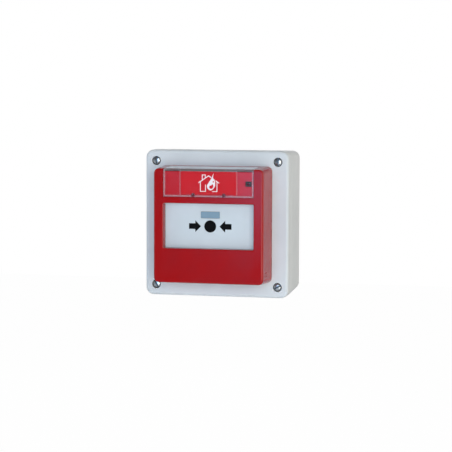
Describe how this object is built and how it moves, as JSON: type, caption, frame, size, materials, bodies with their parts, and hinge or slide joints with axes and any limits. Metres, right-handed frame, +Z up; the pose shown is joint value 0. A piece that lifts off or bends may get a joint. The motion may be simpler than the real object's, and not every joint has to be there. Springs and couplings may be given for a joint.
{
  "type": "manual call point",
  "caption": "Resettable manual call point: a red square unit with a hinged clear flap and a white press pane, on a grey weatherproof wall box.",
  "frame": {"origin": "centre of the box's flat back, on the wall", "axes": "+X to the right as seen from the front, +Y into the wall, so the front faces -Y, +Z up"},
  "size_m": [0.114, 0.0805, 0.1152],
  "materials": {
    "grey_plastic": "light grey moulded box plastic, faint spark texture",
    "red_plastic": "deep red moulded plastic, satin",
    "white_plastic": "white moulded plastic, satin",
    "clear_plastic": "clear polycarbonate, polished",
    "window_plastic": "smoky blue-grey window plastic, polished",
    "dark_plastic": "black moulded plastic, matt",
    "yellow_plastic": "yellow and black indicator plastic",
    "terminal_plastic": "green terminal block plastic",
    "board_laminate": "green lacquered circuit board",
    "rubber": "black moulded rubber",
    "foam": "dark closed-cell sealing strip",
    "steel": "bright plated steel",
    "brass": "turned brass",
    "card": "printed red card"
  },
  "bodies": {
    "box": {"box_base": "grey_plastic", "box_lid": "grey_plastic", "lid_gasket": "foam", "mounting_gasket": "foam", "lid_screw_1": "steel", "base_screw_1": "steel", "frame_screw_1": "steel", "screw_seal_1": "rubber", "threaded_insert_1": "brass", "lid_screw_2": "steel", "base_screw_2": "steel", "frame_screw_2": "steel", "screw_seal_2": "rubber", "threaded_insert_2": "brass", "lid_screw_3": "steel", "base_screw_3": "steel", "frame_screw_3": "steel", "screw_seal_3": "rubber", "threaded_insert_3": "brass", "lid_screw_4": "steel", "base_screw_4": "steel", "frame_screw_4": "steel", "screw_seal_4": "rubber", "threaded_insert_4": "brass", "board_screw_1": "steel", "board_screw_2": "steel", "cable_grommet_left": "rubber", "cable_grommet_right": "rubber", "mounting_base": "red_plastic", "circuit_board": "board_laminate", "terminal_block_left": "terminal_plastic", "terminal_block_right": "terminal_plastic", "address_switch_1": "dark_plastic", "address_switch_2": "dark_plastic", "address_switch_3": "dark_plastic", "status_led": "clear_plastic", "mechanism_frame": "dark_plastic", "micro_switch": "dark_plastic", "pane_spring_left": "steel", "pane_spring_right": "steel", "latch_spring": "steel", "hinge_pin_upper": "steel", "hinge_pin_lower": "steel"},
    "cover": {"front_cover": "red_plastic", "symbol_card": "card", "led_bezel": "dark_plastic", "light_pipe": "clear_plastic"},
    "flap_body": {"flap": "clear_plastic"},
    "pane": {"operating_pane": "white_plastic", "pane_window": "window_plastic"},
    "flag": {"indicator_flag": "yellow_plastic"},
    "lever": {"switch_lever": "steel"},
    "plunger": {"switch_plunger": "red_plastic"},
    "cam": {"reset_cam": "dark_plastic"},
    "latch": {"cover_latch": "dark_plastic"},
    "dial_1": {"address_dial_1": "white_plastic"},
    "dial_2": {"address_dial_2": "white_plastic"},
    "dial_3": {"address_dial_3": "white_plastic"}
  },
  "joints": [
    {"name": "cover_hinge", "type": "hinge", "parent": "box", "child": "cover", "pos_m": [-0.0439, -0.0549, 0], "axis": [0, 0, -1], "range_deg": [0, 90]},
    {"name": "flap_hinge", "type": "hinge", "parent": "cover", "child": "flap_body", "pos_m": [0, -0.0589, 0.0435], "axis": [-1, 0, 0], "range_deg": [0, 90]},
    {"name": "pane_press", "type": "slide", "parent": "box", "child": "pane", "axis": [0, 1, 0], "range_m": [0, 0.0025], "stiffness_N_per_m": 3000, "springref_m": -0.002, "deforming": ["pane_spring_left", "pane_spring_right"]},
    {"name": "flag_drop", "type": "slide", "parent": "pane", "child": "flag", "axis": [0, 0, -1], "range_m": [0, 0.0063]},
    {"name": "lever_tilt", "type": "hinge", "parent": "box", "child": "lever", "pos_m": [-0.025, -0.067, -0.0075], "axis": [0, 0, 1], "range_deg": [0, 7]},
    {"name": "plunger_press", "type": "slide", "parent": "box", "child": "plunger", "axis": [0, 1, 0], "range_m": [0, 0.0007]},
    {"name": "cam_turn", "type": "hinge", "parent": "box", "child": "cam", "pos_m": [0, -0.063, -0.03], "axis": [0, 0, 1], "range_deg": [0, 22]},
    {"name": "latch_slide", "type": "slide", "parent": "box", "child": "latch", "axis": [-1, 0, 0], "range_m": [0, 0.0015], "stiffness_N_per_m": 600, "springref_m": -0.001, "deforming": ["latch_spring"]},
    {"name": "dial_1_turn", "type": "hinge", "parent": "box", "child": "dial_1", "pos_m": [-0.024, -0.062, 0.0275], "axis": [0, -1, 0], "continuous": true},
    {"name": "dial_2_turn", "type": "hinge", "parent": "box", "child": "dial_2", "pos_m": [-0.013, -0.062, 0.0275], "axis": [0, -1, 0], "continuous": true},
    {"name": "dial_3_turn", "type": "hinge", "parent": "box", "child": "dial_3", "pos_m": [-0.002, -0.062, 0.0275], "axis": [0, -1, 0], "continuous": true}
  ],
  "couplings": [
    {"joint": "flag_drop", "follows": "pane_press", "ratio": 2.48},
    {"joint": "lever_tilt", "follows": "pane_press", "rad_per_m": 45.4},
    {"joint": "plunger_press", "follows": "pane_press", "ratio": 0.24},
    {"joint": "cam_turn", "follows": "pane_press", "rad_per_m": 139.6}
  ]
}
